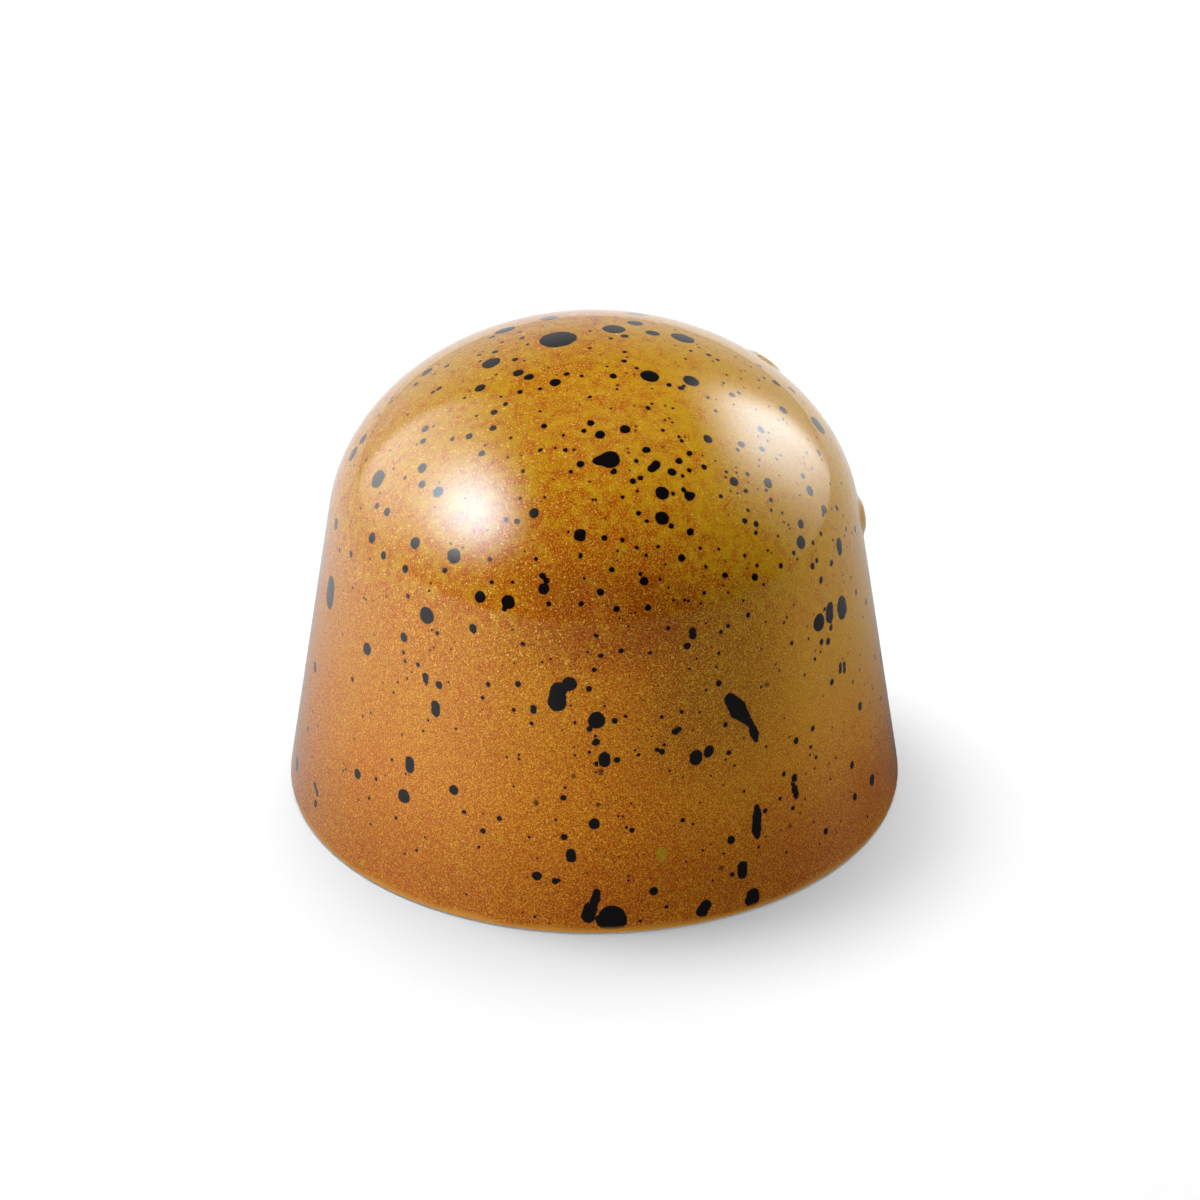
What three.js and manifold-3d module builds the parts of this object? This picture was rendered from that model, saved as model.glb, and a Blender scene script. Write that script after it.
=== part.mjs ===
// A moulded chocolate praline, in millimetres, +Z up.
// The mould is a thimble: a cone that narrows upwards and runs smoothly into a flattened dome.
// The praline stands on its flat scraped base, centred on the origin. Its front faces -Y.
import * as THREE from 'three';
import { mergeVertices } from 'three/addons/utils/BufferGeometryUtils.js';
import Module from 'manifold-3d';

const wasm = await Module();
wasm.setup();

// Driving dimensions
const BASE_RADIUS = 14;
const HEIGHT = 21.5;
const DOME_RADIUS = 11.87;
const DOME_CENTRE_HEIGHT = 12.45;
const FOOT_ROUND = 0.15;

// How finely the round forms are divided
const TURN_STEPS = 96;
const DOME_STEPS = 24;
const CONE_STEPS = 6;
const FOOT_STEPS = 3;
const DAB_TURN_STEPS = 20;
const DAB_RING_STEPS = 10;

// Low dabs of cocoa butter that set proud of the right flank. The angle is measured round the
// axis from the front, positive to the right. Radius is along the surface, rise is out of it.
const DABS = [
  { angleDeg: 122, height: 18.3, radius: 0.75, rise: 0.14 },
  { angleDeg: 92, height: 12.9, radius: 0.75, rise: 0.24 },
];

// The coat of yellow and orange cocoa butter, as one plain colour
const COAT_COLOUR = 0xb8741c;

// Corners closer than this are one corner
const MERGE_GAP = 1e-4;

const domeHalfHeight = HEIGHT - DOME_CENTRE_HEIGHT;

// The dome is half an ellipse. Returns its profile point at an angle above the dome's centre.
function domePoint(angle) {
  return new THREE.Vector2(
    DOME_RADIUS * Math.cos(angle),
    DOME_CENTRE_HEIGHT + domeHalfHeight * Math.sin(angle),
  );
}

// The angle at which a straight line from the base's edge touches the dome without a crease.
// Squashing heights makes the ellipse a circle, where that is a plain tangent.
function tangentAngle() {
  const squashedDrop = (DOME_CENTRE_HEIGHT / domeHalfHeight) * DOME_RADIUS;
  const reach = Math.hypot(BASE_RADIUS, squashedDrop);
  return Math.acos(DOME_RADIUS / reach) - Math.atan2(squashedDrop, BASE_RADIUS);
}

const touchAngle = tangentAngle();
const touch = domePoint(touchAngle);
const draft = Math.atan2(BASE_RADIUS - touch.x, touch.y);

// The cone's radius at a height.
function coneRadius(height) {
  return BASE_RADIUS - height * Math.tan(draft);
}

// The outline from the middle of the base, over the scraped foot and the cone, to the apex.
function outline() {
  const points = [new THREE.Vector2(0, 0)];
  const footTop = FOOT_ROUND * (1 + Math.sin(draft));
  const footCentre = coneRadius(footTop) - FOOT_ROUND * Math.cos(draft);
  for (let i = 0; i <= FOOT_STEPS; i++) {
    const turn = -Math.PI / 2 + (i / FOOT_STEPS) * (Math.PI / 2 + draft);
    points.push(
      new THREE.Vector2(
        footCentre + FOOT_ROUND * Math.cos(turn),
        FOOT_ROUND + FOOT_ROUND * Math.sin(turn),
      ),
    );
  }
  for (let i = 1; i < CONE_STEPS; i++) {
    const height = THREE.MathUtils.lerp(footTop, touch.y, i / CONE_STEPS);
    points.push(new THREE.Vector2(coneRadius(height), height));
  }
  for (let i = 0; i < DOME_STEPS; i++) {
    points.push(domePoint(THREE.MathUtils.lerp(touchAngle, Math.PI / 2, i / DOME_STEPS)));
  }
  points.push(new THREE.Vector2(0, HEIGHT));
  return points;
}

// A three.js geometry as a solid. Only positions are kept, so that shared corners merge.
function toSolid(geometry) {
  const bare = geometry.clone();
  bare.deleteAttribute('normal');
  bare.deleteAttribute('uv');
  const merged = mergeVertices(bare, MERGE_GAP);
  return new wasm.Manifold(
    new wasm.Mesh({
      numProp: 3,
      vertProperties: new Float32Array(merged.attributes.position.array),
      triVerts: new Uint32Array(merged.index.array),
    }),
  );
}

function toGeometry(solid) {
  const mesh = solid.getMesh();
  const geometry = new THREE.BufferGeometry();
  geometry.setAttribute('position', new THREE.BufferAttribute(mesh.vertProperties, 3));
  geometry.setIndex(new THREE.BufferAttribute(mesh.triVerts, 1));
  geometry.computeVertexNormals();
  return geometry;
}

// The moulded body. The lathe turns about +Y, so it is stood up on +Z.
function bodyGeometry() {
  const lathe = new THREE.LatheGeometry(outline(), TURN_STEPS);
  lathe.rotateX(Math.PI / 2);
  return lathe;
}

// The profile's radius and outward slope at a height, on the cone or on the dome.
function surfaceAt(height) {
  if (height <= touch.y) {
    return { radius: coneRadius(height), tilt: draft };
  }
  const angle = Math.asin((height - DOME_CENTRE_HEIGHT) / domeHalfHeight);
  const tilt = Math.atan2(Math.sin(angle) / domeHalfHeight, Math.cos(angle) / DOME_RADIUS);
  return { radius: DOME_RADIUS * Math.cos(angle), tilt };
}

// A flattened ball, half sunk in the surface, with its flat way along the surface's normal.
function dabGeometry({ angleDeg, height, radius, rise }) {
  const { radius: out, tilt } = surfaceAt(height);
  const angle = THREE.MathUtils.degToRad(angleDeg);
  const sideways = new THREE.Vector3(Math.sin(angle), -Math.cos(angle), 0);
  const normal = sideways.clone().multiplyScalar(Math.cos(tilt));
  normal.z = Math.sin(tilt);
  const place = sideways.clone().multiplyScalar(out);
  place.z = height;
  const ball = new THREE.SphereGeometry(1, DAB_TURN_STEPS, DAB_RING_STEPS);
  ball.scale(radius, rise, radius);
  const turn = new THREE.Quaternion().setFromUnitVectors(new THREE.Vector3(0, 1, 0), normal);
  ball.applyQuaternion(turn);
  ball.translate(place.x, place.y, place.z);
  return ball;
}

function pralineMesh() {
  let solid = toSolid(bodyGeometry());
  for (const dab of DABS) {
    solid = solid.add(toSolid(dabGeometry(dab)));
  }
  const coat = new THREE.MeshStandardMaterial({
    color: COAT_COLOUR,
    roughness: 0.2,
    metalness: 0,
  });
  const mesh = new THREE.Mesh(toGeometry(solid), coat);
  mesh.name = 'praline';
  return mesh;
}

const praline = new THREE.Group();
praline.add(pralineMesh());

export default praline;
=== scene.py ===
import math
import random

import bpy
import numpy as np
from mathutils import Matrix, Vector
from mathutils.bvhtree import BVHTree


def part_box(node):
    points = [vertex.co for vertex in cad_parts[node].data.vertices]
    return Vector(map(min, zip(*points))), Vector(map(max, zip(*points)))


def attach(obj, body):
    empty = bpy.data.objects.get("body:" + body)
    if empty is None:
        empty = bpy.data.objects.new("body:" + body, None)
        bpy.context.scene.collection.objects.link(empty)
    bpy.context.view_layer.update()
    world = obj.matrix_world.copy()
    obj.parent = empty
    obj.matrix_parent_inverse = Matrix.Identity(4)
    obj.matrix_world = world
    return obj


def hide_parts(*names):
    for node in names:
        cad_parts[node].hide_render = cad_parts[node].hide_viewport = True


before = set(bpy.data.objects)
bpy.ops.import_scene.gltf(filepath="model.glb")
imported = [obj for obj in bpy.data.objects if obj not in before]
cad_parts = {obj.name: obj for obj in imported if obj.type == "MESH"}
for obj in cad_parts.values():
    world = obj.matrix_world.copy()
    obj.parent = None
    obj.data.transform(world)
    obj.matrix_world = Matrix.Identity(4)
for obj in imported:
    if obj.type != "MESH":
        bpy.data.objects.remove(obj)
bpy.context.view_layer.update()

MM = 0.001

BODY_LOW, BODY_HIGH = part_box("praline")

# The mould's profile. The apex stays a hair inside the frame's own height.
HEIGHT = BODY_HIGH.z - 0.001 * MM
BASE_RADIUS = 14 * MM
DOME_RADIUS = 11.87 * MM
DOME_CENTRE_HEIGHT = 12.45 * MM
DOME_HALF_HEIGHT = HEIGHT - DOME_CENTRE_HEIGHT
FOOT_ROUND = 0.15 * MM
SIDES = 216
FOOT_RINGS = 3
CONE_RINGS = 36
DOME_RINGS = 36

# Low dabs of cocoa butter on the right flank: turn round the axis from the front, height, size
# along the surface and rise out of it
DABS = [
    (122, 18.3 * MM, 0.8 * MM, 0.13 * MM),
    (92, 12.9 * MM, 0.8 * MM, 0.22 * MM),
]
FLANK_RADIUS = 12 * MM

# The underside: how far each ring is set in, first of the rim and then of the cap
RIM_INSETS = (0.25 * MM, 0.35 * MM)
CAP_DEPTH = 0.04 * MM
CAP_INSETS = (1.5 * MM, 3 * MM, 4 * MM, 3 * MM)

# The photograph's camera. Pixels are those of the 1200 x 1200 photograph.
PHOTO_SIZE = 1200
CAMERA_TILT = math.radians(29.86)
CAMERA_LENS = 123.5
SENSOR = 36
CAMERA_PLACE = Vector((0.26, -160.96, 101.04)) * MM

# Drops of black cocoa butter, each as pixel x, pixel y and real diameter in mm, read off the
# photograph. A drip, which ran, is given by both its ends.
CROWN_DROPS = [
    (558, 339, 1.64), (614, 329, 1.0), (624.5, 336, 0.36), (505, 330, 0.9), (549, 318, 0.8),
    (491, 363, 0.85), (518, 373, 0.5), (529, 377, 0.45), (480, 388, 0.5), (515, 359.5, 0.3),
    (495, 352, 0.3), (479, 355, 0.2), (555, 382.5, 0.5), (520, 392, 0.28), (613, 376, 0.34),
    (566.5, 374, 0.25), (582, 376, 0.18), (540, 389, 0.19), (492, 337, 0.33), (502, 342, 0.2),
    (520, 332, 0.22), (522, 338, 0.26), (590, 331, 0.2), (611.5, 338.5, 0.2), (590, 348, 0.17),
    (625, 352, 0.21), (624, 361, 0.25), (635, 323, 0.7), (652.5, 333, 0.6), (683, 338, 1.05),
    (650, 376, 0.82), (691, 381, 0.72), (681, 388, 0.27), (684, 386, 0.18), (669, 385, 0.25),
    (637, 368, 0.2), (709, 355, 0.27), (718, 360, 0.2), (686, 359, 0.15), (691, 351, 0.16),
]
DOME_LEFT_DROPS = [
    (378, 479, 0.85), (422, 468, 0.45), (425, 429, 0.36), (423, 441, 0.3), (422, 484.5, 0.33),
    (438, 492, 0.5), (427, 372, 0.56), (416, 384, 0.27), (447, 366, 0.24), (439, 388.5, 0.26),
    (433, 392, 0.24), (464.5, 398, 0.17), (452, 439, 0.22), (469, 436, 0.32), (494, 412, 0.32),
    (493, 428, 0.3), (482, 453.5, 0.3), (505.6, 404, 0.24), (392, 398, 0.25), (390.5, 402, 0.25),
    (379, 415, 0.2), (363, 439, 0.55), (353, 454, 0.7), (405, 478, 0.19), (511, 438, 0.16),
]
DOME_MIDDLE_DROPS = [
    (544, 426, 0.28), (591, 423, 0.32), (600, 434.5, 0.44), (584, 431, 0.24), (625, 429, 0.46),
    (540, 450, 0.21), (565.5, 450, 0.22), (580.5, 464, 0.36),
    (614, 471.5, 0.28), (523, 471, 0.17), (571, 472, 0.19),
    (590, 397, 0.17), (563.5, 435, 0.16), (648, 408, 0.22), (652, 404, 0.15), (708, 397.5, 0.19),
    (716, 411, 0.18), (663, 430, 0.18), (708, 439, 0.44), (682, 441, 0.19), (679, 437, 0.16),
    (646, 450, 0.35), (689.5, 453.5, 0.26), (679, 461, 0.31), (636, 461, 0.22),
    (704, 467, 0.26), (672, 472, 0.38), (689, 470, 0.22), (682.5, 476, 0.18), (633, 481, 0.28),
    (640.5, 478, 0.25), (662, 493, 0.6), (684, 490, 0.24), (689, 496, 0.42), (693, 495, 0.2),
    (662, 518, 0.6), (638.6, 513, 0.25), (647, 521.5, 0.19), (623, 497, 0.17),
    (637, 490.6, 0.16), (673, 494, 0.18), (671, 526, 0.25), (690, 532, 0.34), (682, 558, 0.34),
    (700, 548, 0.16),
]
DOME_RIGHT_DROPS = [
    (732, 395, 0.31), (739, 393, 0.19), (783, 410, 0.45), (776, 383, 0.42), (764, 378, 0.18),
    (759, 365.5, 0.3), (792, 390, 0.45), (818, 425, 0.95), (819, 453, 0.3), (761, 430, 0.36),
    (741, 444, 0.33), (738, 450, 0.17), (762, 449, 0.28), (768, 483, 0.45), (766, 490, 0.17),
    (803, 476, 0.26), (810, 491, 0.45), (734, 481.6, 0.44), (747.5, 474, 0.2), (746, 491, 0.22),
    (771, 500, 0.21), (726.5, 472, 0.15), (721, 496, 0.19), (771, 510, 0.15), (748, 510, 0.17),
    (744.6, 521, 0.25), (756, 524, 0.28), (756, 533, 0.2), (801, 524, 0.4), (824, 509.4, 0.42),
    (823, 515, 0.17), (837, 508, 0.24), (801, 542.6, 0.56), (793.5, 553, 0.2),
    (813, 542.6, 0.22), (821, 534, 0.2), (846, 529, 0.2), (855, 529, 0.33),
]
SHOULDER_DROPS = [
    (534, 513, 0.42), (517, 521.5, 0.25), (506, 519.5, 0.2), (604.6, 538, 0.26),
    (622, 539.5, 0.22), (637, 548, 0.2), (658, 546.5, 0.16), (646, 555.6, 0.16),
    (580.5, 556, 0.2), (612, 570, 0.25), (644, 581, 0.39), (640, 574, 0.17), (600.5, 592, 0.33),
    (536, 559, 0.19), (490, 559, 0.2), (492, 582, 0.19), (480, 597, 0.5), (508, 602, 0.6),
    (504, 609, 0.22), (542.4, 576, 0.3), (546.3, 580.6, 0.26), (544, 589, 0.5), (549, 604, 0.23),
    (581.6, 604, 0.22), (616.4, 609, 0.28), (648, 607.5, 0.29), (377, 506, 0.28),
    (387, 512, 0.4), (372, 538, 0.48), (415, 543, 0.52), (454, 556, 0.65), (383.5, 555.6, 0.36),
    (405, 569, 0.35), (445, 570.5, 0.25), (336, 524, 0.55), (351, 554, 0.28), (339.5, 550, 0.22),
    (408, 596, 0.21), (427, 615.5, 0.75), (437, 633, 0.2), (404, 637.6, 0.43), (367, 649, 0.58),
    (403.5, 652.6, 0.2), (418, 664.5, 0.23), (439, 685, 0.36),
    (352.5, 679, 0.23), (315, 667, 0.5), (725, 575, 0.26),
    (706, 567, 0.16), (704, 593, 0.17), (755, 577, 0.32), (757, 566, 0.18), (744.5, 556, 0.16),
    (781, 565.6, 0.25), (748, 615, 0.25), (728, 626, 0.2), (721, 632, 0.19), (685, 600, 0.14),
    (689, 601, 0.14), (812.5, 566, 0.28), (817, 560.5, 0.22), (831.5, 563, 0.3), (821, 580, 0.32),
    (856, 592, 0.26), (866, 602, 0.35),
]
UPPER_SIDE_DROPS = [
    (596, 635.5, 0.21), (621, 651, 0.23), (601, 656, 0.22), (650, 653, 0.16), (594, 670, 0.22),
    (523, 644, 0.19), (488, 684, 0.23), (518, 684, 0.28), (589, 689, 0.26), (668, 628, 0.2),
    (687.6, 646, 0.32), (719, 653.5, 0.17), (719, 683.5, 0.27), (819, 622.7, 0.8),
    (824.6, 609.5, 0.2), (821.5, 642, 0.26), (828, 641.5, 0.32),
    (792, 643, 0.2), (815, 659, 0.15), (832, 682, 0.3), (853, 682, 0.18), (569, 684, 0.65),
    (405, 661, 0.17),
]
LOWER_LEFT_DROPS = [
    (483, 698, 0.2), (514, 710, 0.2), (531.5, 723, 0.18), (596.5, 720.3, 0.76),
    (595, 736, 0.14), (589.5, 729, 0.25), (615, 721, 0.27), (625.5, 716, 0.16),
    (596, 742, 0.34), (597, 764, 0.25), (617, 760, 0.28), (589, 752, 0.15),
    (638.5, 755, 0.18), (657, 750, 0.22), (662, 752, 0.28), (664, 744.6, 0.15),
    (661.6, 717, 0.18), (563, 798, 0.28), (499, 818, 0.24), (483, 831, 0.26), (479, 847, 0.15),
    (594.5, 824, 0.52), (564, 837, 0.31), (626, 827.5, 0.14), (632, 830, 0.24), (537, 876, 0.42),
    (555, 881, 0.3), (559, 880, 0.17), (428, 720, 0.15),
    (406, 773.7, 0.12), (409, 775.5, 0.1), (404, 796, 0.65), (357.5, 774, 0.46), (454, 790, 0.46),
    (392, 760, 0.16), (376, 779, 0.18), (369, 798, 0.17), (396, 818, 0.18), (464, 812, 0.2),
    (315.5, 803.5, 0.38), (297, 764, 0.7), (308, 729, 0.25),
]
LOWER_RIGHT_DROPS = [
    (675, 732, 0.3), (679.6, 729, 0.2),
    (681.6, 712, 0.19), (725.5, 725, 0.24), (729, 753, 0.24), (683, 820, 0.22),
    (765, 811, 0.25), (731, 840, 0.38), (759, 847, 0.15),
    (732, 874.6, 0.22), (780, 799, 0.2), (784, 774, 0.24), (872, 780, 0.56),
    (796, 741, 0.33), (813, 728.6, 0.24), (811, 746.5, 0.18), (816, 757.5, 0.2),
    (793, 808, 0.2), (826, 831, 0.3), (855, 796.5, 0.36), (852, 765, 0.35), (860, 706, 0.4),
    (875, 657, 0.25), (881, 698, 0.2),
]
FOOT_DROPS = [
    (605.5, 920, 0.85), (612, 917.5, 1.15), (618.5, 920, 0.8), (654, 891, 0.4),
    (667, 907, 0.19), (640, 921, 0.17), (535, 917, 0.15),
]
DRIPS = [
    (597.5, 461, 0.4, 610.5, 459.5, 0.83), (580, 534.3, 0.48, 580, 535.7, 0.48),
    (656.6, 464, 0.36, 651.5, 469, 0.36), (839, 543.5, 0.5, 840, 551, 0.44),
    (331, 587, 1.0, 329.6, 597, 1.05), (693, 630.5, 0.3, 693, 636, 0.3),
    (840.4, 665, 0.25, 840.4, 671, 0.25), (844.4, 664, 0.25, 844.4, 671, 0.25),
    (558.5, 690, 0.7, 557, 703, 0.76), (314.6, 784, 0.22, 317.4, 794, 0.22),
    (829.7, 608.5, 0.55, 829.7, 616.5, 0.6), (829.9, 616.5, 0.5, 830.8, 623, 0.1),
    (830.8, 623, 0.1, 831, 628, 0.24), (841.5, 605.5, 0.85, 842.5, 610, 0.85),
    (435.5, 705.5, 0.43, 435.5, 712, 0.43), (409.8, 761.5, 0.47, 409.8, 768.3, 0.47),
    (425.6, 676, 0.3, 425.8, 680, 0.24), (425.8, 680, 0.24, 426, 684.5, 0.08),
    (473, 627.3, 0.31, 473.2, 629.6, 0.31), (533.7, 707.8, 0.24, 533.7, 711, 0.24),
    (604.5, 757, 0.47, 604.5, 762, 0.47), (571, 853.5, 0.43, 571, 857.5, 0.43),
    (696, 756, 0.55, 696, 759.3, 0.55), (709.3, 750, 0.4, 708, 753, 0.4),
    (730, 699, 0.55, 738, 709.5, 0.8), (738, 709.5, 0.8, 749, 722, 0.34),
    (749, 722, 0.34, 752, 727, 0.26), (752.5, 729, 0.36, 755, 735, 0.42),
    (755, 735, 0.42, 756.2, 740.5, 0.18), (794.3, 776.5, 0.28, 794.3, 780.5, 0.28),
    (792.2, 783, 0.16, 794, 786, 0.24), (794.6, 788, 0.34, 796, 794.5, 0.3),
    (796, 794.5, 0.3, 796.5, 797.5, 0.16), (756.7, 807, 0.26, 757, 816, 0.45),
    (757, 816, 0.45, 756.6, 829, 0.5), (756.6, 829, 0.5, 757.4, 836, 0.26),
    (742.4, 866, 0.46, 742.4, 874, 0.46), (702, 911.5, 0.55, 706, 905, 0.5),
    (753, 895.5, 0.66, 752, 899, 0.68), (596.5, 893, 0.36, 595, 901, 0.42),
    (594, 903, 0.38, 592, 908, 0.4), (590.5, 908, 0.58, 588.5, 916.5, 0.62),
]

# Stains by pixel and mm: burgundy specks where black met orange, and dabs of bare yellow
BURGUNDY_STAINS = [
    (767, 684.5, 0.26), (601, 772, 0.3), (536, 803, 0.3), (598, 805, 0.24), (721, 868, 0.28),
    (677, 730, 0.36), (574, 776, 0.2), (790, 826, 0.24), (871, 737.6, 0.16), (887.5, 722, 0.3),
]
YELLOW_STAINS = [
    (661, 853, 0.5), (663, 858, 0.3), (500.6, 841, 0.24), (362, 863, 0.28), (660, 880, 0.2),
]

# Each drip is drawn as a row of round marks
DRIP_STEPS = 5

# Random spatter: fine specks all over, larger drops only where the photograph doesn't show.
# Radii are in mm. A share of the drops is large, and a share of the largest ran.
SPATTER_SEED = 11
FINE_SPECKS = 900
SPECK_RADII = (0.035, 0.07)
HIDDEN_DROPS = 520
LARGE_SHARE = 0.16
LARGE_EXTRA = (0.05, 0.32)
RUNNY_RADIUS = 0.25
RUNNY_SHARE = 0.4

# How far a face has to be turned to the camera for the photograph to show its drops
EDGE_ON = 0.12

# Clear coat between a random speck and a placed drop
CLEAR_GAP = 0.12 * MM

# Faces handled together, so that the distances fit in memory
FACES_AT_ONCE = 4000

# Cocoa butter and chocolate colours
YELLOW = "#C4940C"
ORANGE = "#B25509"
DEEP_ORANGE = "#984408"
BLACK = "#0B0908"
BURGUNDY = "#4A1410"
GOLD_MICA = "#DDA024"
# Pale sparkle colour of the painted glints, a painted highlight
PAINTED_GLINT = "#FACC64"
# Dark brown of the painted shade on the front right of the dome
PAINTED_SHADE_BROWN = "#57390C"
BARE_YELLOW = "#A88A12"
FOOT_TAN = "#B9802F"
DARK_CHOCOLATE = "#34190F"
SCRAPED_CHOCOLATE = "#4A2A1B"

# Patterns of the coat. A pixel of the photograph is 0.046 mm. Real mist and mica are 0.01 to
# 0.04 mm, so grain, glimmer and flakes are drawn coarser, near the size that the photograph shows.
PATCH_SIZE = 0.5 * MM
DRIFT_SIZE = 4 * MM
GRAIN_SIZE = 0.07 * MM
GLIMMER_SIZE = 0.06 * MM
FLAKE_SIZE = 0.055 * MM
WOBBLE_SIZE = 0.45 * MM
WOBBLE_REACH = 0.12 * MM
DROP_BLEND = 0.12 * MM
FOOT_WAVE_SIZE = 1.6 * MM
RIPPLE_SIZE = 2.5 * MM
RIPPLE_DEPTH = 0.006 * MM

# Where the cone turns into the dome, and the middle of the heap above the front: thicker mist and
# painted shade
CONE_TOP = 12 * MM
HEAP_AND_SHADE_MIDDLE = 0.5 * MM

# Cocoa butter is 1.46. Matched to the photograph, where the room mirrors a little brighter.
COAT_IOR = 1.6

# Patterns of the scraped base
DRAG_SIZE = 0.6 * MM
RAGGED_SIZE = 0.9 * MM
PIT_SPACING = 0.9 * MM
PIT_DEPTH = 0.03 * MM

# The studio. Lamps and softboxes stand at one distance. A softbox turns cooler between these
# two strengths.
FLOOR_SIZE = 3
LIGHT_DISTANCE = 0.4
WHITE = (1, 1, 1, 1)
TABLE_WHITE = (0.86, 0.86, 0.86, 1)
FRONT_RIGHT = (0.643, -0.766, 0)
COOL_LIGHT = "#E0F0FF"
COOL_FROM = 2
COOL_AT = 8


def linear(hex_colour):
    """An sRGB hex colour as linear red, green, blue and alpha."""
    shares = [int(hex_colour[i:i + 2], 16) / 255 for i in (1, 3, 5)]
    return [s / 12.92 if s <= 0.04045 else ((s + 0.055) / 1.055) ** 2.4 for s in shares] + [1]


def add_node(tree, kind, inputs=None, **settings):
    """Adds a node. Settings are its own properties; an input is a value or another node's output."""
    node = tree.nodes.new(kind)
    for name, value in settings.items():
        setattr(node, name, value)
    for name, value in (inputs or {}).items():
        if isinstance(value, bpy.types.NodeSocket):
            tree.links.new(value, node.inputs[name])
        else:
            node.inputs[name].default_value = value
    return node


def new_tree(owner):
    """The owner's empty node tree."""
    owner.use_nodes = True
    owner.node_tree.nodes.clear()
    return owner.node_tree


# Camera
def make_camera():
    """The photograph's camera, level and tilted down."""
    camera = bpy.data.objects.new("camera", bpy.data.cameras.new("camera"))
    camera.data.lens = CAMERA_LENS
    camera.data.sensor_width = SENSOR
    camera.data.clip_start = 0.01
    camera.data.clip_end = 10
    camera.location = CAMERA_PLACE
    camera.rotation_euler = (math.pi / 2 - CAMERA_TILT, 0, 0)
    bpy.context.collection.objects.link(camera)
    bpy.context.scene.camera = camera


def pixel_ray(x, y):
    """The direction from the camera through a pixel of the photograph."""
    forward = Vector((0, math.cos(CAMERA_TILT), -math.sin(CAMERA_TILT)))
    up = Vector((0, math.sin(CAMERA_TILT), math.cos(CAMERA_TILT)))
    right = Vector((1, 0, 0))
    across = (x - PHOTO_SIZE / 2) / PHOTO_SIZE * SENSOR
    down = (y - PHOTO_SIZE / 2) / PHOTO_SIZE * SENSOR
    return (forward * CAMERA_LENS + right * across - up * down).normalized()


# Studio
def direction(azimuth, elevation):
    """Outwards from the praline. Azimuth is from the front, positive to the right."""
    return Vector((
        math.sin(azimuth) * math.cos(elevation),
        -math.cos(azimuth) * math.cos(elevation),
        math.sin(elevation),
    ))


def make_world():
    """White behind the object, black in its reflections, as a lit sweep looks from the camera."""
    world = bpy.data.worlds.new("studio")
    bpy.context.scene.world = world
    tree = new_tree(world)
    seen = add_node(tree, "ShaderNodeLightPath").outputs["Is Camera Ray"]
    back = add_node(tree, "ShaderNodeBackground", {"Color": WHITE, "Strength": seen})
    add_node(tree, "ShaderNodeOutputWorld", {"Surface": back.outputs["Background"]})


def make_floor():
    """A white table. What the praline mirrors of it is darker towards the front right."""
    bpy.ops.mesh.primitive_plane_add(size=FLOOR_SIZE, location=(0, 0, 0))
    floor = bpy.context.object
    floor.name = "floor"
    material = bpy.data.materials.new("white_table")
    tree = new_tree(material)
    place = add_node(tree, "ShaderNodeTexCoord").outputs["Object"]
    toward = add_node(tree, "ShaderNodeVectorMath", {0: place}, operation="NORMALIZE").outputs[0]
    away = add_node(
        tree, "ShaderNodeVectorMath", {0: toward, 1: FRONT_RIGHT}, operation="DOT_PRODUCT",
    ).outputs["Value"]
    out = add_node(tree, "ShaderNodeVectorMath", {0: place}, operation="LENGTH").outputs["Value"]
    # What the praline mirrors of the table is a painted glow, not lit by the lamps: darker towards
    # the front right and far off, and darker in the praline's own shade
    brightness = 1.0
    for along, start, end, low, high in (
        (away, -0.75, 0.95, 1.0, 0.09),
        (out, 13 * MM, 50 * MM, 0.5, 1.0),
        (out, 380 * MM, 900 * MM, 1.0, 0.0),
    ):
        share = add_node(
            tree, "ShaderNodeMapRange",
            {"Value": along, "From Min": start, "From Max": end, "To Min": low, "To Max": high},
            interpolation_type="SMOOTHSTEP",
        )
        brightness = add_node(
            tree, "ShaderNodeMath", {0: brightness, 1: share.outputs["Result"]},
            operation="MULTIPLY",
        ).outputs[0]
    reflected_glow = add_node(tree, "ShaderNodeEmission", {"Color": WHITE, "Strength": brightness})
    white = add_node(tree, "ShaderNodeBsdfDiffuse", {"Color": TABLE_WHITE})
    seen = add_node(tree, "ShaderNodeLightPath").outputs["Is Camera Ray"]
    both = add_node(
        tree, "ShaderNodeMixShader",
        {0: seen, 1: reflected_glow.outputs["Emission"], 2: white.outputs["BSDF"]},
    )
    add_node(tree, "ShaderNodeOutputMaterial", {"Surface": both.outputs["Shader"]})
    floor.data.materials.append(material)
    floor.visible_diffuse = False
    floor.visible_shadow = False
    return floor


def make_soft_light(name, azimuth, elevation, size, strength, lit):
    """A round diffuser that lights one thing. Strength is what it adds to white card facing it."""
    lamp = bpy.data.objects.new(name, bpy.data.lights.new(name, "AREA"))
    lamp.data.shape = "DISK"
    lamp.data.size = size
    lamp.data.energy = strength * (math.pi * LIGHT_DISTANCE) ** 2
    out = direction(azimuth, elevation)
    lamp.location = out * LIGHT_DISTANCE
    lamp.rotation_mode = "QUATERNION"
    lamp.rotation_quaternion = out.to_track_quat("Z", "Y")
    lamp.visible_glossy = False
    lamp.visible_camera = False
    bpy.context.collection.objects.link(lamp)
    receivers = bpy.data.collections.new(name)
    receivers.objects.link(lit)
    lamp.light_linking.receiver_collection = receivers


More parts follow.
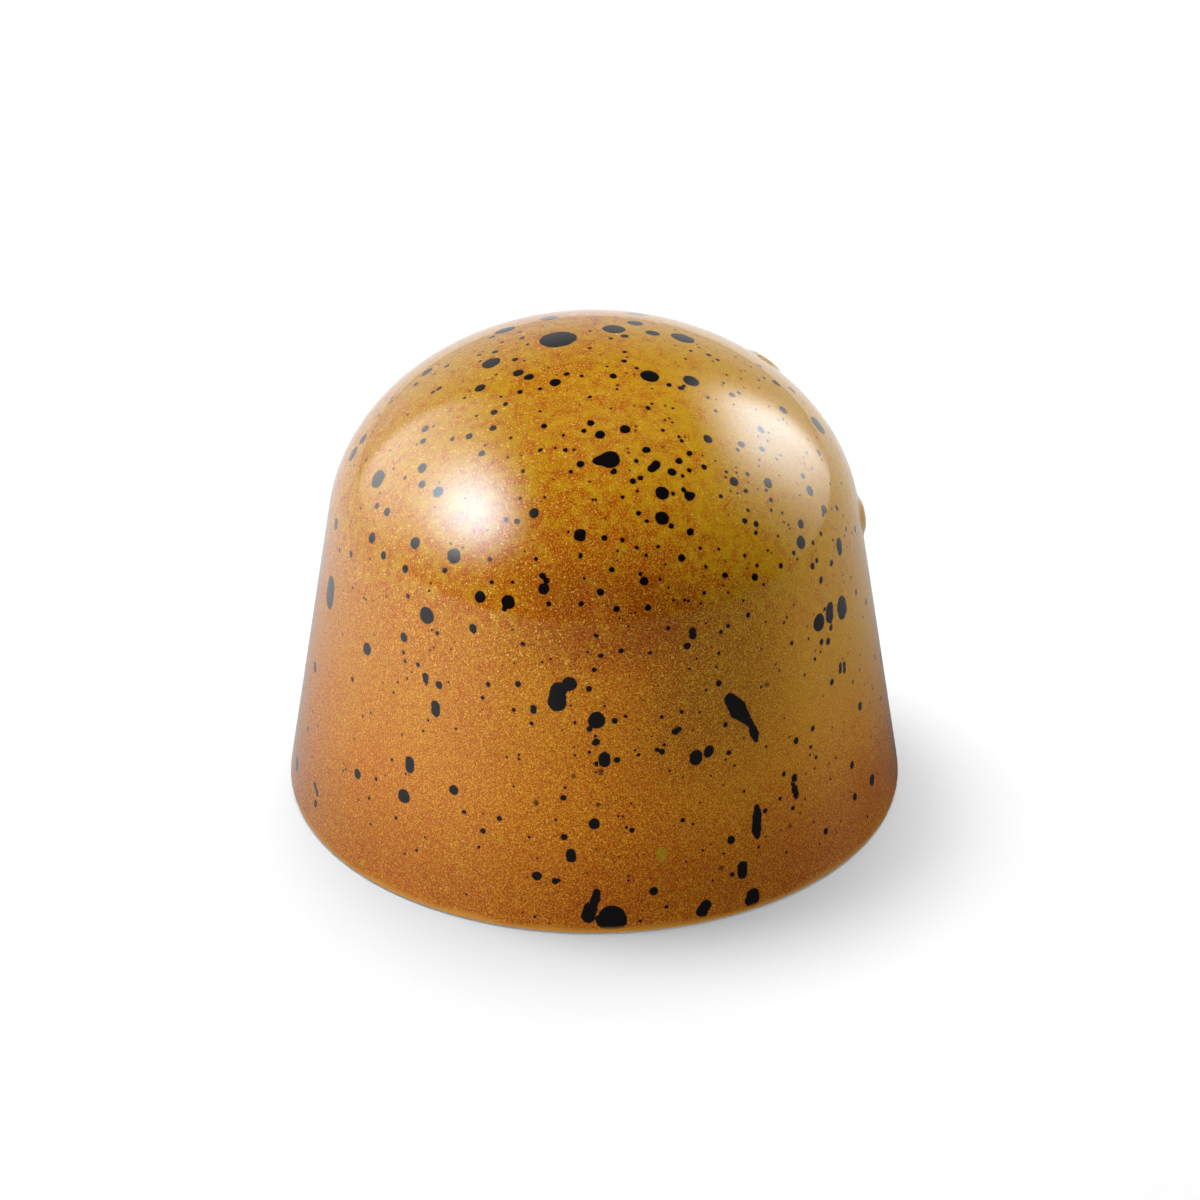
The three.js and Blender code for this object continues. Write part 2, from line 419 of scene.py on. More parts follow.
def make_softbox(name, azimuth, elevation, across, upward, glows, base, fades, corner):
    """A softbox facing the praline, or a lit wall. It lets the light from behind it through.

    across and upward are its lowest and highest reach from the line to the praline, in shares of
    its distance. across grows to its own right as it faces the praline. Each glow is the place
    of a bright spot, across and upward, the spot's size both ways, and its strength. fades are
    the widths of the soft edges: left, right, lower and upper.
    """
    out = direction(azimuth, elevation)
    width = (across[1] - across[0]) * LIGHT_DISTANCE
    tall = (upward[1] - upward[0]) * LIGHT_DISTANCE
    turn = out.to_track_quat("Z", "Y")
    side = turn @ Vector((1, 0, 0))
    up = turn @ Vector((0, 1, 0))
    bpy.ops.mesh.primitive_plane_add(size=1)
    box = bpy.context.object
    box.name = name
    bpy.ops.object.mode_set(mode="EDIT")
    bpy.ops.transform.resize(value=(width, tall, 1), center_override=(0, 0, 0))
    bpy.ops.mesh.bevel(offset=corner * LIGHT_DISTANCE, segments=8, affect="VERTICES")
    bpy.ops.object.mode_set(mode="OBJECT")
    box.location = (out + side * sum(across) / 2 + up * sum(upward) / 2) * LIGHT_DISTANCE
    box.rotation_mode = "QUATERNION"
    box.rotation_quaternion = turn
    box.visible_camera = False
    box.visible_diffuse = False

    material = bpy.data.materials.new(name)
    tree = new_tree(material)
    place = add_node(tree, "ShaderNodeTexCoord").outputs["Object"]
    split = add_node(tree, "ShaderNodeSeparateXYZ", {0: place})
    shares = []
    masks = []
    for axis, reach, soft in (("X", across, fades[:2]), ("Y", upward, fades[2:])):
        middle = sum(reach) / 2
        share = add_node(
            tree, "ShaderNodeMath",
            {0: split.outputs[axis], 1: 1 / LIGHT_DISTANCE, 2: middle}, operation="MULTIPLY_ADD",
        ).outputs[0]
        shares.append(share)
        for edge, fade in ((reach[0], soft[0]), (reach[1], -soft[1])):
            mask = add_node(
                tree, "ShaderNodeMapRange",
                {"Value": share, "From Min": edge, "From Max": edge + fade},
                interpolation_type="SMOOTHSTEP",
            )
            masks.append(mask.outputs["Result"])
    strength = base
    for right, high, wide, deep, peak in glows:
        squares = []
        for share, spot, size in ((shares[0], right, wide), (shares[1], high, deep)):
            off = add_node(tree, "ShaderNodeMath", {0: share, 1: spot}, operation="SUBTRACT")
            scaled = add_node(
                tree, "ShaderNodeMath", {0: off.outputs[0], 1: size}, operation="DIVIDE",
            ).outputs[0]
            square = add_node(tree, "ShaderNodeMath", {0: scaled, 1: scaled}, operation="MULTIPLY")
            squares.append(square.outputs[0])
        total = add_node(tree, "ShaderNodeMath", {0: squares[0], 1: squares[1]}, operation="ADD")
        halved = add_node(
            tree, "ShaderNodeMath", {0: total.outputs[0], 1: -0.5}, operation="MULTIPLY",
        )
        bell = add_node(tree, "ShaderNodeMath", {0: halved.outputs[0]}, operation="EXPONENT")
        strength = add_node(
            tree, "ShaderNodeMath", {0: bell.outputs[0], 1: peak, 2: strength},
            operation="MULTIPLY_ADD",
        ).outputs[0]
    for mask in masks:
        strength = add_node(
            tree, "ShaderNodeMath", {0: strength, 1: mask}, operation="MULTIPLY",
        ).outputs[0]
    # The bright middle is cooler than the diffuser round it
    cool = add_node(
        tree, "ShaderNodeMapRange",
        {"Value": strength, "From Min": COOL_FROM, "From Max": COOL_AT},
    )
    light = add_node(
        tree, "ShaderNodeMix", {0: cool.outputs["Result"], 6: WHITE, 7: linear(COOL_LIGHT)},
        data_type="RGBA",
    )
    glow = add_node(tree, "ShaderNodeEmission", {"Color": light.outputs[2], "Strength": strength})
    clear = add_node(tree, "ShaderNodeBsdfTransparent")
    both = add_node(
        tree, "ShaderNodeAddShader", {0: glow.outputs["Emission"], 1: clear.outputs["BSDF"]},
    )
    add_node(tree, "ShaderNodeOutputMaterial", {"Surface": both.outputs["Shader"]})
    box.data.materials.append(material)


# Body
def profile_rings():
    """Radius and height of each ring, from the foot's edge up to just below the apex."""
    squashed_drop = DOME_CENTRE_HEIGHT / DOME_HALF_HEIGHT * DOME_RADIUS
    reach = math.hypot(BASE_RADIUS, squashed_drop)
    touch = math.acos(DOME_RADIUS / reach) - math.atan2(squashed_drop, BASE_RADIUS)
    touch_radius = DOME_RADIUS * math.cos(touch)
    touch_height = DOME_CENTRE_HEIGHT + DOME_HALF_HEIGHT * math.sin(touch)
    draft = math.atan2(BASE_RADIUS - touch_radius, touch_height)
    foot_top = FOOT_ROUND * (1 + math.sin(draft))
    foot_centre = BASE_RADIUS - foot_top * math.tan(draft) - FOOT_ROUND * math.cos(draft)
    rings = []
    for i in range(FOOT_RINGS + 1):
        turn = -math.pi / 2 + i / FOOT_RINGS * (math.pi / 2 + draft)
        rings.append((foot_centre + FOOT_ROUND * math.cos(turn), FOOT_ROUND * (1 + math.sin(turn))))
    for i in range(1, CONE_RINGS):
        height = foot_top + (touch_height - foot_top) * i / CONE_RINGS
        rings.append((BASE_RADIUS - height * math.tan(draft), height))
    for i in range(DOME_RINGS):
        angle = touch + (math.pi / 2 - touch) * i / DOME_RINGS
        height = DOME_CENTRE_HEIGHT + DOME_HALF_HEIGHT * math.sin(angle)
        rings.append((DOME_RADIUS * math.cos(angle), height))
    return rings


def make_body():
    """The shell, drawn up ring by ring from its base, as one closed mesh."""
    rings = profile_rings()
    bpy.ops.mesh.primitive_circle_add(vertices=SIDES, radius=rings[0][0], fill_type="NGON")
    body = bpy.context.object
    body.name = "praline_coat"
    bpy.ops.object.mode_set(mode="EDIT")
    bpy.ops.mesh.select_all(action="SELECT")
    radius, height = rings[0]
    for next_radius, next_height in rings[1:]:
        rise = (0, 0, next_height - height)
        bpy.ops.mesh.extrude_region_move(TRANSFORM_OT_translate={"value": rise})
        shrink = next_radius / radius
        bpy.ops.transform.resize(value=(shrink, shrink, 1), center_override=(0, 0, next_height))
        radius, height = next_radius, next_height
    bpy.ops.mesh.extrude_region_move(TRANSFORM_OT_translate={"value": (0, 0, HEIGHT - height)})
    bpy.ops.mesh.merge(type="CENTER")
    bpy.ops.mesh.select_all(action="SELECT")
    bpy.ops.mesh.normals_make_consistent(inside=False)
    bpy.ops.object.mode_set(mode="OBJECT")
    finish_base(body)
    smooth = body.modifiers.new("smooth", "SUBSURF")
    smooth.levels = 1
    smooth.render_levels = 1
    bpy.ops.object.modifier_apply(modifier="smooth")
    raise_dabs(body)
    bpy.ops.object.shade_smooth_by_angle(angle=math.radians(50))
    return body


def finish_base(body):
    """The underside: a flat rim of coat, and inside it the filling's cap, scraped a hair lower."""
    bpy.ops.object.mode_set(mode="EDIT")
    bpy.ops.mesh.select_mode(type="FACE")
    bpy.ops.mesh.select_all(action="DESELECT")
    bpy.ops.object.mode_set(mode="OBJECT")
    for polygon in body.data.polygons:
        polygon.select = polygon.normal.z < -0.99
    bpy.ops.object.mode_set(mode="EDIT")
    for ring in RIM_INSETS:
        bpy.ops.mesh.inset(thickness=ring, depth=0)
    bpy.ops.transform.translate(value=(0, 0, CAP_DEPTH))
    for ring in CAP_INSETS:
        bpy.ops.mesh.inset(thickness=ring, depth=0)
    bpy.ops.mesh.merge(type="CENTER")
    bpy.ops.mesh.select_all(action="DESELECT")
    bpy.ops.object.mode_set(mode="OBJECT")


def raise_dabs(body):
    """Pulls the two low dabs out of the flank, each round and soft at its edge."""
    for degrees, height, size, rise in DABS:
        angle = math.radians(degrees)
        outward = direction(angle, 0)
        nearest = min(
            (v for v in body.data.vertices if v.co.z > 1 * MM),
            key=lambda v: abs(v.co.z - height)
            + (Vector((v.co.x, v.co.y, 0)).normalized() - outward).length * FLANK_RADIUS,
        )
        push = nearest.normal * rise
        index = nearest.index
        bpy.ops.object.mode_set(mode="EDIT")
        bpy.ops.mesh.select_mode(type="VERT")
        bpy.ops.mesh.select_all(action="DESELECT")
        bpy.ops.object.mode_set(mode="OBJECT")
        body.data.vertices[index].select = True
        bpy.ops.object.mode_set(mode="EDIT")
        bpy.ops.transform.translate(
            value=push, use_proportional_edit=True, proportional_edit_falloff="SPHERE",
            proportional_size=size,
        )
        bpy.ops.object.mode_set(mode="OBJECT")


# Spatter
def spots_on_body(shell, marks):
    """Places on the coat under marks of the photograph: a list of (place, radius)."""
    spots = []
    for x, y, size in marks:
        place = shell.ray_cast(CAMERA_PLACE, pixel_ray(x, y))[0]
        if place is not None:
            spots.append((place, size / 2 * MM))
    return spots


def drip_marks():
    """Each drip as a close row of round marks from end to end."""
    marks = []
    for x0, y0, size0, x1, y1, size1 in DRIPS:
        for i in range(DRIP_STEPS + 1):
            share = i / DRIP_STEPS
            marks.append(
                (x0 + (x1 - x0) * share, y0 + (y1 - y0) * share, size0 + (size1 - size0) * share)
            )
    return marks


def face_order(face):
    """Column round the axis, then height, because a mesh's own order changes from run to run."""
    column = math.atan2(face.center.x, -face.center.y) / (math.pi / SIDES) - 0.5
    return round(column), face.center.z


def random_spatter(body, shell, placed):
    """Fine specks all over and larger drops on the hidden side, thicker on the dome and right.

    No speck touches a drop that is already placed. Some of the large drops ran a little.
    """
    draw = random.Random(SPATTER_SEED)
    faces = sorted((p for p in body.data.polygons if p.normal.z > -0.5), key=face_order)
    weights = [
        p.area * (0.7 + 0.5 * p.center.z / HEIGHT + 0.35 * p.center.x / BASE_RADIUS) for p in faces
    ]
    spots = []
    for face in draw.choices(faces, weights, k=FINE_SPECKS):
        radius = draw.uniform(*SPECK_RADII) * MM
        if all((face.center - p).length > radius + r + CLEAR_GAP for p, r in placed):
            spots.append((face.center.copy(), radius))
    for face in draw.choices(faces, weights, k=HIDDEN_DROPS):
        radius = 0.07 + 0.06 * draw.expovariate(1)
        if draw.random() < LARGE_SHARE:
            radius += draw.uniform(*LARGE_EXTRA)
        to_camera = (CAMERA_PLACE - face.center).normalized()
        if face.normal.dot(to_camera) > EDGE_ON:
            continue
        spots.append((face.center.copy(), radius * MM))
        if radius > RUNNY_RADIUS and draw.random() < RUNNY_SHARE:
            down = Vector((0, 0, -1))
            run = (down - face.normal * down.dot(face.normal)) * radius * 1.1 * MM
            spots.append((shell.find_nearest(face.center + run)[0], radius * 0.6 * MM))
    return spots


def store_spots(body, name, spots, count):
    """Gives each face the place and radius of its nearest spots, for the coat's material."""
    centres = np.array([p.center for p in body.data.polygons])
    places = np.array([place for place, _ in spots])
    radii = np.array([radius for _, radius in spots])
    nearest = np.empty((len(centres), count), dtype=int)
    for start in range(0, len(centres), FACES_AT_ONCE):
        part = centres[start:start + FACES_AT_ONCE]
        gaps = np.linalg.norm(part[:, None, :] - places[None], axis=2) - radii
        nearest[start:start + FACES_AT_ONCE] = np.argsort(gaps, axis=1)[:, :count]
    for rank in range(count):
        chosen = nearest[:, rank]
        place = body.data.attributes.new(f"{name}_place_{rank}", "FLOAT_VECTOR", "FACE")
        place.data.foreach_set("vector", places[chosen].astype(np.float32).ravel())
        radius = body.data.attributes.new(f"{name}_radius_{rank}", "FLOAT", "FACE")
        radius.data.foreach_set("value", radii[chosen].astype(np.float32))


# Materials
def spot_gap(tree, name, rank, place):
    """The distance from a point of the surface to the edge of a stored spot."""
    centre = add_node(tree, "ShaderNodeAttribute", attribute_name=f"{name}_place_{rank}")
    radius = add_node(tree, "ShaderNodeAttribute", attribute_name=f"{name}_radius_{rank}")
    length = add_node(
        tree, "ShaderNodeVectorMath", {0: place, 1: centre.outputs["Vector"]}, operation="DISTANCE",
    )
    return add_node(
        tree, "ShaderNodeMath", {0: length.outputs["Value"], 1: radius.outputs["Fac"]},
        operation="SUBTRACT",
    ).outputs[0]


def make_cocoa_butter():
    """Coloured cocoa butter, airbrushed into a polished polycarbonate mould.

    The mould leaves a glass-smooth gloss over everything. Under it a fine orange mist lies on
    yellow, thick to the left and low down, thin to the right, with gold mica that glitters
    under the softboxes and black spatter with crisp round edges. Pale glints laid into the
    colour are painted highlights, and painted shade darkens the front of the dome and the foot.
    """
    material = bpy.data.materials.new("airbrushed_cocoa_butter")
    tree = new_tree(material)
    place = add_node(tree, "ShaderNodeTexCoord").outputs["Object"]
    split = add_node(tree, "ShaderNodeSeparateXYZ", {0: place})
    across = split.outputs["X"]
    height = split.outputs["Z"]

    # Patterns: size, layers of finer detail, how rough those are, and how much it is warped
    patterns = {}
    for name, size, detail, roughness, warp in (
        ("patches", PATCH_SIZE, 3, 0.6, 0),
        ("drift", DRIFT_SIZE, 1, 0.5, 0),
        ("grain", GRAIN_SIZE, 1, 0.5, 0),
        ("glimmer", GLIMMER_SIZE, 0, 0.5, 0.4),
        ("wobble", WOBBLE_SIZE, 2, 0.5, 0),
        ("foot_edge", FOOT_WAVE_SIZE, 2, 0.5, 0),
        ("ripple", RIPPLE_SIZE, 1, 0.5, 0),
    ):
        patterns[name] = add_node(
            tree, "ShaderNodeTexNoise",
            {"Vector": place, "Scale": 1 / size, "Detail": detail, "Roughness": roughness,
             "Distortion": warp},
        ).outputs

    # Ways of measuring where a point lies. The mist's right edge leans over on the dome.
    over_cone = add_node(
        tree, "ShaderNodeMath", {0: height, 1: CONE_TOP}, operation="SUBTRACT",
    ).outputs[0]
    above = add_node(tree, "ShaderNodeMath", {0: over_cone, 1: 0.0}, operation="MAXIMUM").outputs[0]
    rightward = add_node(
        tree, "ShaderNodeMath", {0: above, 1: 0.45, 2: across}, operation="MULTIPLY_ADD",
    ).outputs[0]
    from_heap_and_shade = add_node(
        tree, "ShaderNodeMath", {0: across, 1: -HEAP_AND_SHADE_MIDDLE}, operation="ADD",
    ).outputs[0]
    off_heap_and_shade = add_node(tree, "ShaderNodeMath", {0: from_heap_and_shade}, operation="ABSOLUTE").outputs[0]
    foot_height = add_node(
        tree, "ShaderNodeMath",
        {0: patterns["foot_edge"]["Fac"], 1: -0.45 * MM, 2: height}, operation="MULTIPLY_ADD",
    ).outputs[0]

    # Spatter and stains, measured a little unevenly so that none is a true circle
    uncentred = add_node(
        tree, "ShaderNodeVectorMath",
        {0: patterns["wobble"]["Color"], 1: (0.5, 0.5, 0.5)}, operation="SUBTRACT",
    ).outputs[0]
    shift = add_node(
        tree, "ShaderNodeVectorMath", {0: uncentred, "Scale": WOBBLE_REACH}, operation="SCALE",
    ).outputs[0]
    uneven = add_node(tree, "ShaderNodeVectorMath", {0: place, 1: shift}, operation="ADD").outputs[0]
    drop_gap = add_node(
        tree, "ShaderNodeMath",
        {0: spot_gap(tree, "drop", 0, uneven), 1: spot_gap(tree, "drop", 1, uneven), 2: DROP_BLEND},
        operation="SMOOTH_MIN",
    ).outputs[0]

    # Smooth rises: what is measured, where each starts and ends in mm, and from what to what
    shares = {}
    for name, along, start, end, low, high in (
        ("off_foot", height, 1, 11, 0, 1),
        ("to_right", rightward, 3, 12, 0, 1),
        ("to_left", across, -1, -7, 0, 1),
        ("on_dome", height, 12, 17, 0, 1),
        ("on_crown", height, 17, 20, 0, 1),
        # The heap above the front: thicker mist, and painted shade where the low dome gets less
        # light
        ("heap_and_shade_across", off_heap_and_shade, 6, 1, 0, 1),
        ("heap_and_shade_foot", height, 11, 13.5, 0, 1),
        ("heap_and_shade_top", height, 17.5, 15, 0, 1),
        ("patch_strength", height, 11, 15, 0.4, 3.2),
        ("grain_strength", height, 11, 15, 2.2, 1.5),
        ("low_down", height, 7, 1, 0, 0.9),
        # Right at the foot: denser mist, and painted contact shade
        ("by_foot", height, 2.4, 0.8, 0, 0.35),
        # The painted shade: a dim band on the front right of the dome, between the lights
        ("painted_shade_from", across, 0.5, 4.5, 0, 0.38),
        ("painted_shade_to", across, 9.5, 6, 0, 1),
        ("painted_shade_foot", height, 5, 10, 0, 1),
        ("painted_shade_top", height, 16, 14, 0, 1),
        # The painted glints: stronger higher up and towards the left, where the left softbox lights
        # the dome
        ("painted_glint_high", height, 8, 14, 0.3, 0.8),
        ("painted_glint_left", across, 4, -4, 0.4, 1),
        ("drop", drop_gap, 0.02, -0.02, 0, 1),
        ("halo", drop_gap, 0.09, 0, 0, 0.3),
        ("burgundy", spot_gap(tree, "burgundy", 0, uneven), 0.06, -0.08, 0, 0.85),
        ("bare_yellow", spot_gap(tree, "yellow", 0, uneven), 0.08, -0.1, 0, 0.75),
        ("foot", foot_height, 0.22, -0.08, 0, 0.85),
    ):
        shares[name] = add_node(
            tree, "ShaderNodeMapRange",
            {"Value": along, "From Min": start * MM, "From Max": end * MM,
             "To Min": low, "To Max": high},
            interpolation_type="SMOOTHSTEP",
        ).outputs["Result"]
    for name, parts in (
        ("heap_and_shade", ("heap_and_shade_across", "heap_and_shade_foot", "heap_and_shade_top")),
        ("right_side", ("to_right", "off_foot")),
        ("right_dome", ("to_right", "on_dome")),
        ("left_dome", ("to_left", "on_dome")),
        ("painted_shade", ("painted_shade_from", "painted_shade_to", "painted_shade_foot", "painted_shade_top")),
        ("painted_glint_strength", ("painted_glint_high", "painted_glint_left")),
    ):
        product = shares[parts[0]]
        for part in parts[1:]:
            product = add_node(
                tree, "ShaderNodeMath", {0: product, 1: shares[part]}, operation="MULTIPLY",
            ).outputs[0]
        shares[name] = product

    # The mist: thick low down and in a heap above the front, thin to the right and on the dome's
    # left, broken into patches and grains. The heap also stands for painted shade on the low front
    # of the dome.
    mist = 1.0
    for name, weight in (
        ("heap_and_shade", 0.36), ("on_crown", -0.26), ("off_foot", -0.2), ("right_side", -0.61),
        ("left_dome", -0.33), ("right_dome", -0.28),
    ):
        mist = add_node(
            tree, "ShaderNodeMath", {0: shares[name], 1: weight, 2: mist}, operation="MULTIPLY_ADD",
        ).outputs[0]
    for name, strength in (
        ("patches", shares["patch_strength"]), ("drift", 0.5), ("grain", shares["grain_strength"]),
    ):
        swing = add_node(
            tree, "ShaderNodeMath", {0: patterns[name]["Fac"], 1: 0.5}, operation="SUBTRACT",
        )
        mist = add_node(
            tree, "ShaderNodeMath", {0: swing.outputs[0], 1: strength, 2: mist},
            operation="MULTIPLY_ADD",
        ).outputs[0]
    mist = add_node(tree, "ShaderNodeClamp", {"Value": mist}).outputs[0]
    # Deeper orange low down, and at the foot partly painted contact shade
    toward_foot = add_node(
        tree, "ShaderNodeMath", {0: shares["low_down"], 1: shares["by_foot"]}, operation="ADD",
    ).outputs[0]
    # The heap deepens the orange as painted shade as well as thicker mist
    deep = add_node(
        tree, "ShaderNodeMath", {0: shares["heap_and_shade"], 1: 0.85, 2: toward_foot},
        operation="MULTIPLY_ADD",
    ).outputs[0]

    # Gold mica: a close glimmer in the mist, and flat flakes, each tilted its own way. A few cells
    # become painted glints: pale highlights laid into the colour.
    flakes = add_node(
        tree, "ShaderNodeTexVoronoi", {"Vector": place, "Scale": 1 / FLAKE_SIZE}, feature="F1",
    ).outputs["Color"]
    flake_parts = add_node(tree, "ShaderNodeSeparateColor", {0: flakes}).outputs
    for name, along, start, end, low, high in (
        ("glimmer", patterns["glimmer"]["Fac"], 0.5, 0.68, 0, 1),
        ("less_gold", deep, 0, 0.9, 0.85, 0.5),
        ("is_flake", flake_parts["Red"], 0.8, 0.9, 0, 1),
        ("is_glint", flake_parts["Green"], 0.95, 0.97, 0, 1),
    ):
        shares[name] = add_node(
            tree, "ShaderNodeMapRange",
            {"Value": along, "From Min": start, "From Max": end, "To Min": low, "To Max": high},
            interpolation_type="SMOOTHSTEP",
        ).outputs["Result"]
    covered = add_node(
        tree, "ShaderNodeMath", {0: shares["drop"], 1: shares["foot"]}, operation="MAXIMUM",
    ).outputs[0]
    bare = add_node(tree, "ShaderNodeMath", {0: 1.0, 1: covered}, operation="SUBTRACT").outputs[0]
    for name, parts in (
        ("gold", (shares["glimmer"], shares["less_gold"])),
        ("mica", (shares["is_flake"], bare, mist, 0.22)),
        ("glint", (shares["is_glint"], bare, shares["painted_glint_strength"])),
        ("tilt", (shares["is_flake"], bare, 0.6)),
    ):
        product = parts[0]
        for part in parts[1:]:
            product = add_node(
                tree, "ShaderNodeMath", {0: product, 1: part}, operation="MULTIPLY",
            ).outputs[0]
        shares[name] = product
    lean = add_node(
        tree, "ShaderNodeVectorMath", {0: flakes, 1: (0.5, 0.5, 0.5)}, operation="SUBTRACT",
    ).outputs[0]
    tilted = add_node(
        tree, "ShaderNodeVectorMath", {0: lean, "Scale": shares["tilt"]}, operation="SCALE",
    ).outputs[0]
    facing = add_node(tree, "ShaderNodeNewGeometry").outputs["Normal"]
    turned = add_node(
        tree, "ShaderNodeVectorMath", {0: facing, 1: tilted}, operation="ADD",
    ).outputs[0]
    flake_normal = add_node(
        tree, "ShaderNodeVectorMath", {0: turned}, operation="NORMALIZE",
    ).outputs[0]

    # Colours, each laid over the last. A dark brown on the right of the front of the dome is painted
    # shade, the glints are painted highlights, and the coat's yellow back shows at the foot's
    # scraped edge.
    orange = add_node(
        tree, "ShaderNodeMix", {0: deep, 6: linear(ORANGE), 7: linear(DEEP_ORANGE)},
        data_type="RGBA",
    ).outputs[2]
    colour = add_node(
        tree, "ShaderNodeMix", {0: mist, 6: linear(YELLOW), 7: orange}, data_type="RGBA",
    ).outputs[2]
    for name, layer in (
        ("painted_shade", PAINTED_SHADE_BROWN), ("gold", GOLD_MICA), ("halo", DEEP_ORANGE),
        ("bare_yellow", BARE_YELLOW), ("burgundy", BURGUNDY), ("glint", PAINTED_GLINT),
        ("drop", BLACK), ("foot", FOOT_TAN),
    ):
        colour = add_node(
            tree, "ShaderNodeMix", {0: shares[name], 6: colour, 7: linear(layer)},
            data_type="RGBA",
        ).outputs[2]

    # The gloss is nearly flat: the mould was polished by hand
    gloss_normal = add_node(
        tree, "ShaderNodeBump",
        {"Height": patterns["ripple"]["Fac"], "Strength": 1.0, "Distance": RIPPLE_DEPTH},
    ).outputs["Normal"]
    surface = add_node(
        tree, "ShaderNodeBsdfPrincipled",
        {"Base Color": colour, "Metallic": shares["mica"], "Roughness": 0.42,
         "Specular IOR Level": 0.05, "Normal": flake_normal, "Coat Weight": 1.0,
         "Coat Roughness": 0.06, "Coat IOR": COAT_IOR, "Coat Normal": gloss_normal},
    )
    add_node(tree, "ShaderNodeOutputMaterial", {"Surface": surface.outputs["BSDF"]})
    return material


def make_scraped_base():
    """Dark chocolate, poured into the mould and scraped level with a spatula while it set.

    It is satin rather than glossy, with long fine drag marks and pinholes, and the coat's
    broken edge shows as a thin rim of tan.
    """
    material = bpy.data.materials.new("scraped_dark_chocolate")
    tree = new_tree(material)
    place = add_node(tree, "ShaderNodeTexCoord").outputs["Object"]
    turned = add_node(
        tree, "ShaderNodeMapping",
        {"Vector": place, "Rotation": (0, 0, math.radians(24)), "Scale": (0.08, 1, 1)},
    ).outputs["Vector"]
    drag = add_node(
        tree, "ShaderNodeTexNoise",
        {"Vector": turned, "Scale": 1 / DRAG_SIZE, "Detail": 5.0, "Roughness": 0.6},
    ).outputs["Fac"]
    split = add_node(tree, "ShaderNodeSeparateXYZ", {0: place})
    flat = add_node(
        tree, "ShaderNodeCombineXYZ", {"X": split.outputs["X"], "Y": split.outputs["Y"], "Z": 0.0},
    ).outputs[0]
    out = add_node(tree, "ShaderNodeVectorMath", {0: flat}, operation="LENGTH").outputs["Value"]
    ragged = add_node(
        tree, "ShaderNodeTexNoise", {"Vector": place, "Scale": 1 / RAGGED_SIZE, "Detail": 3.0},
    ).outputs["Fac"]
    edge = add_node(
        tree, "ShaderNodeMath", {0: ragged, 1: 0.5 * MM, 2: out}, operation="MULTIPLY_ADD",
    ).outputs[0]
    pits = add_node(
        tree, "ShaderNodeTexVoronoi", {"Vector": place, "Scale": 1 / PIT_SPACING}, feature="F1",
    ).outputs["Distance"]
    shares = {}
    for name, along, start, end in (
        ("streak", drag, 0.35, 0.7),
        ("rim", edge, BASE_RADIUS - 0.2 * MM, BASE_RADIUS - 0.08 * MM),
        ("level", pits, 0.06, 0.14),
    ):
        shares[name] = add_node(
            tree, "ShaderNodeMapRange", {"Value": along, "From Min": start, "From Max": end},
            interpolation_type="SMOOTHSTEP",
        ).outputs["Result"]
    colour = linear(DARK_CHOCOLATE)
    for name, layer in (("streak", SCRAPED_CHOCOLATE), ("rim", FOOT_TAN)):
        colour = add_node(
            tree, "ShaderNodeMix", {0: shares[name], 6: colour, 7: linear(layer)},
            data_type="RGBA",
        ).outputs[2]
    relief = add_node(tree, "ShaderNodeMath", {0: drag, 1: shares["level"]}, operation="ADD")
    bumps = add_node(
        tree, "ShaderNodeBump",
        {"Height": relief.outputs[0], "Strength": 0.8, "Distance": PIT_DEPTH},
    ).outputs["Normal"]
    surface = add_node(
        tree, "ShaderNodeBsdfPrincipled",
        {"Base Color": colour, "Roughness": 0.45, "IOR": 1.46, "Normal": bumps},
    )
    add_node(tree, "ShaderNodeOutputMaterial", {"Surface": surface.outputs["BSDF"]})
    return material


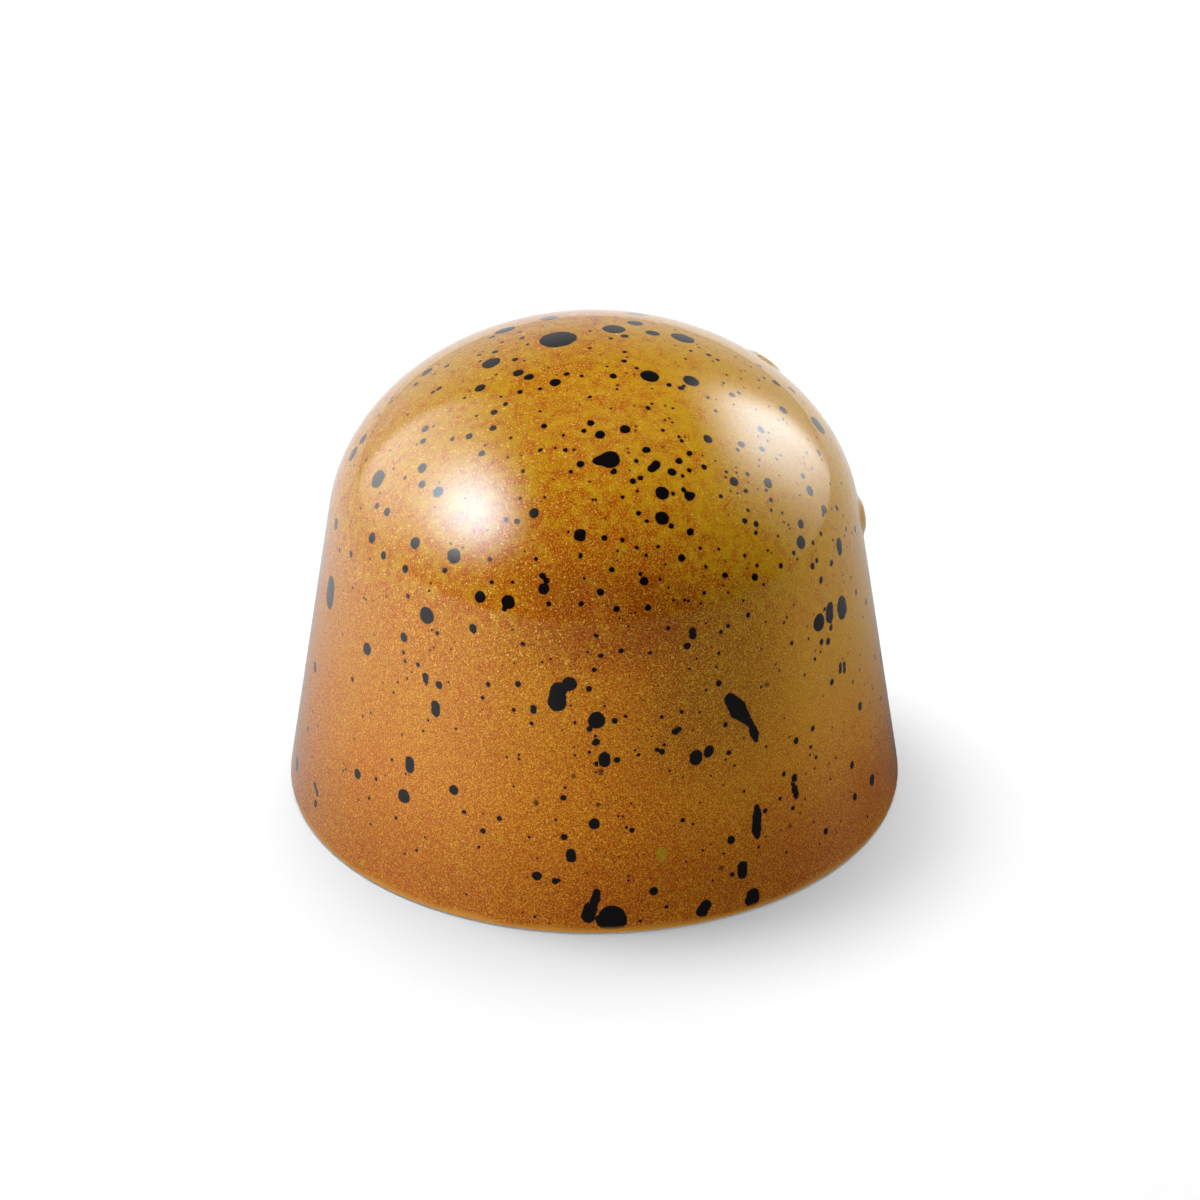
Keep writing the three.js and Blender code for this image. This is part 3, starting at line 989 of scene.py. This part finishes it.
# The studio
bpy.ops.object.select_all(action="DESELECT")
bpy.context.scene.view_settings.view_transform = "Standard"
make_camera()
make_world()
floor = make_floor()
make_softbox(
    "lit_wall", math.pi, 0, across=(-0.9, 1.7), upward=(0, 1.2),
    glows=((0, 0, 1.5, 0.35, 0.6), (0.75, 0.42, 0.35, 0.4, 0.42)), base=0,
    fades=(0.4, 0.5, 0.05, 0.4), corner=0.02,
)
make_softbox(
    "softbox_left", math.radians(-95), math.radians(30), across=(-0.94, 1.35),
    upward=(-0.6, 1.09), glows=((0.28, 0.32, 0.26, 0.22, 15.4), (-0.42, -0.08, 0.44, 0.35, 3.0)),
    base=0.15, fades=(0.2, 0.5, 0.05, 0.71), corner=0.12,
)
make_softbox(
    "softbox_right", math.radians(110), math.radians(30), across=(-0.58, 1.0),
    upward=(-0.6, 0.54), glows=((0.24, 0.14, 0.19, 0.33, 6.3), (0.48, -0.06, 0.11, 0.29, 4.0)),
    base=0.6, fades=(0.42, 0.35, 0.05, 0.48), corner=0.02,
)

# The praline and its light: azimuth and elevation in degrees, size, strength and what is lit.
# Those below the table stand for the light that a white table throws back up.
body = make_body()
body.visible_diffuse = False
for name, azimuth, elevation, size, strength, lit in (
    ("left", -58, -15, 0.3, 0.84, body),
    ("table_left", -45, -45, 0.3, 0.42, body),
    ("front", -5, 15, 0.2, 0.31, body),
    ("table_right", 98, -38, 0.3, 0.97, body),
    ("back_top", 180, 72, 0.3, 1.06, body),
    ("table_back", 180, 74, 0.3, 0.8, floor),
    ("table_back_left", -140, 74, 0.3, 0.28, floor),
    ("table_side", -120, 66, 0.15, 0.39, floor),
):
    make_soft_light(name, math.radians(azimuth), math.radians(elevation), size, strength, lit)

# Its spatter
shell = BVHTree.FromPolygons(
    [v.co for v in body.data.vertices], [tuple(p.vertices) for p in body.data.polygons],
)
marks = (
    CROWN_DROPS + DOME_LEFT_DROPS + DOME_MIDDLE_DROPS + DOME_RIGHT_DROPS + SHOULDER_DROPS
    + UPPER_SIDE_DROPS + LOWER_LEFT_DROPS + LOWER_RIGHT_DROPS + FOOT_DROPS + drip_marks()
)
marked = spots_on_body(shell, marks)
store_spots(body, "drop", marked + random_spatter(body, shell, marked), 2)
store_spots(body, "burgundy", spots_on_body(shell, BURGUNDY_STAINS), 1)
store_spots(body, "yellow", spots_on_body(shell, YELLOW_STAINS), 1)

# Its two surfaces
body.data.materials.append(make_cocoa_butter())
body.data.materials.append(make_scraped_base())
base_radius = profile_rings()[0][0]
for polygon in body.data.polygons:
    if polygon.normal.z < -0.9 and math.hypot(polygon.center.x, polygon.center.y) < base_radius:
        polygon.material_index = 1

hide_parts("praline")
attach(body, "root")
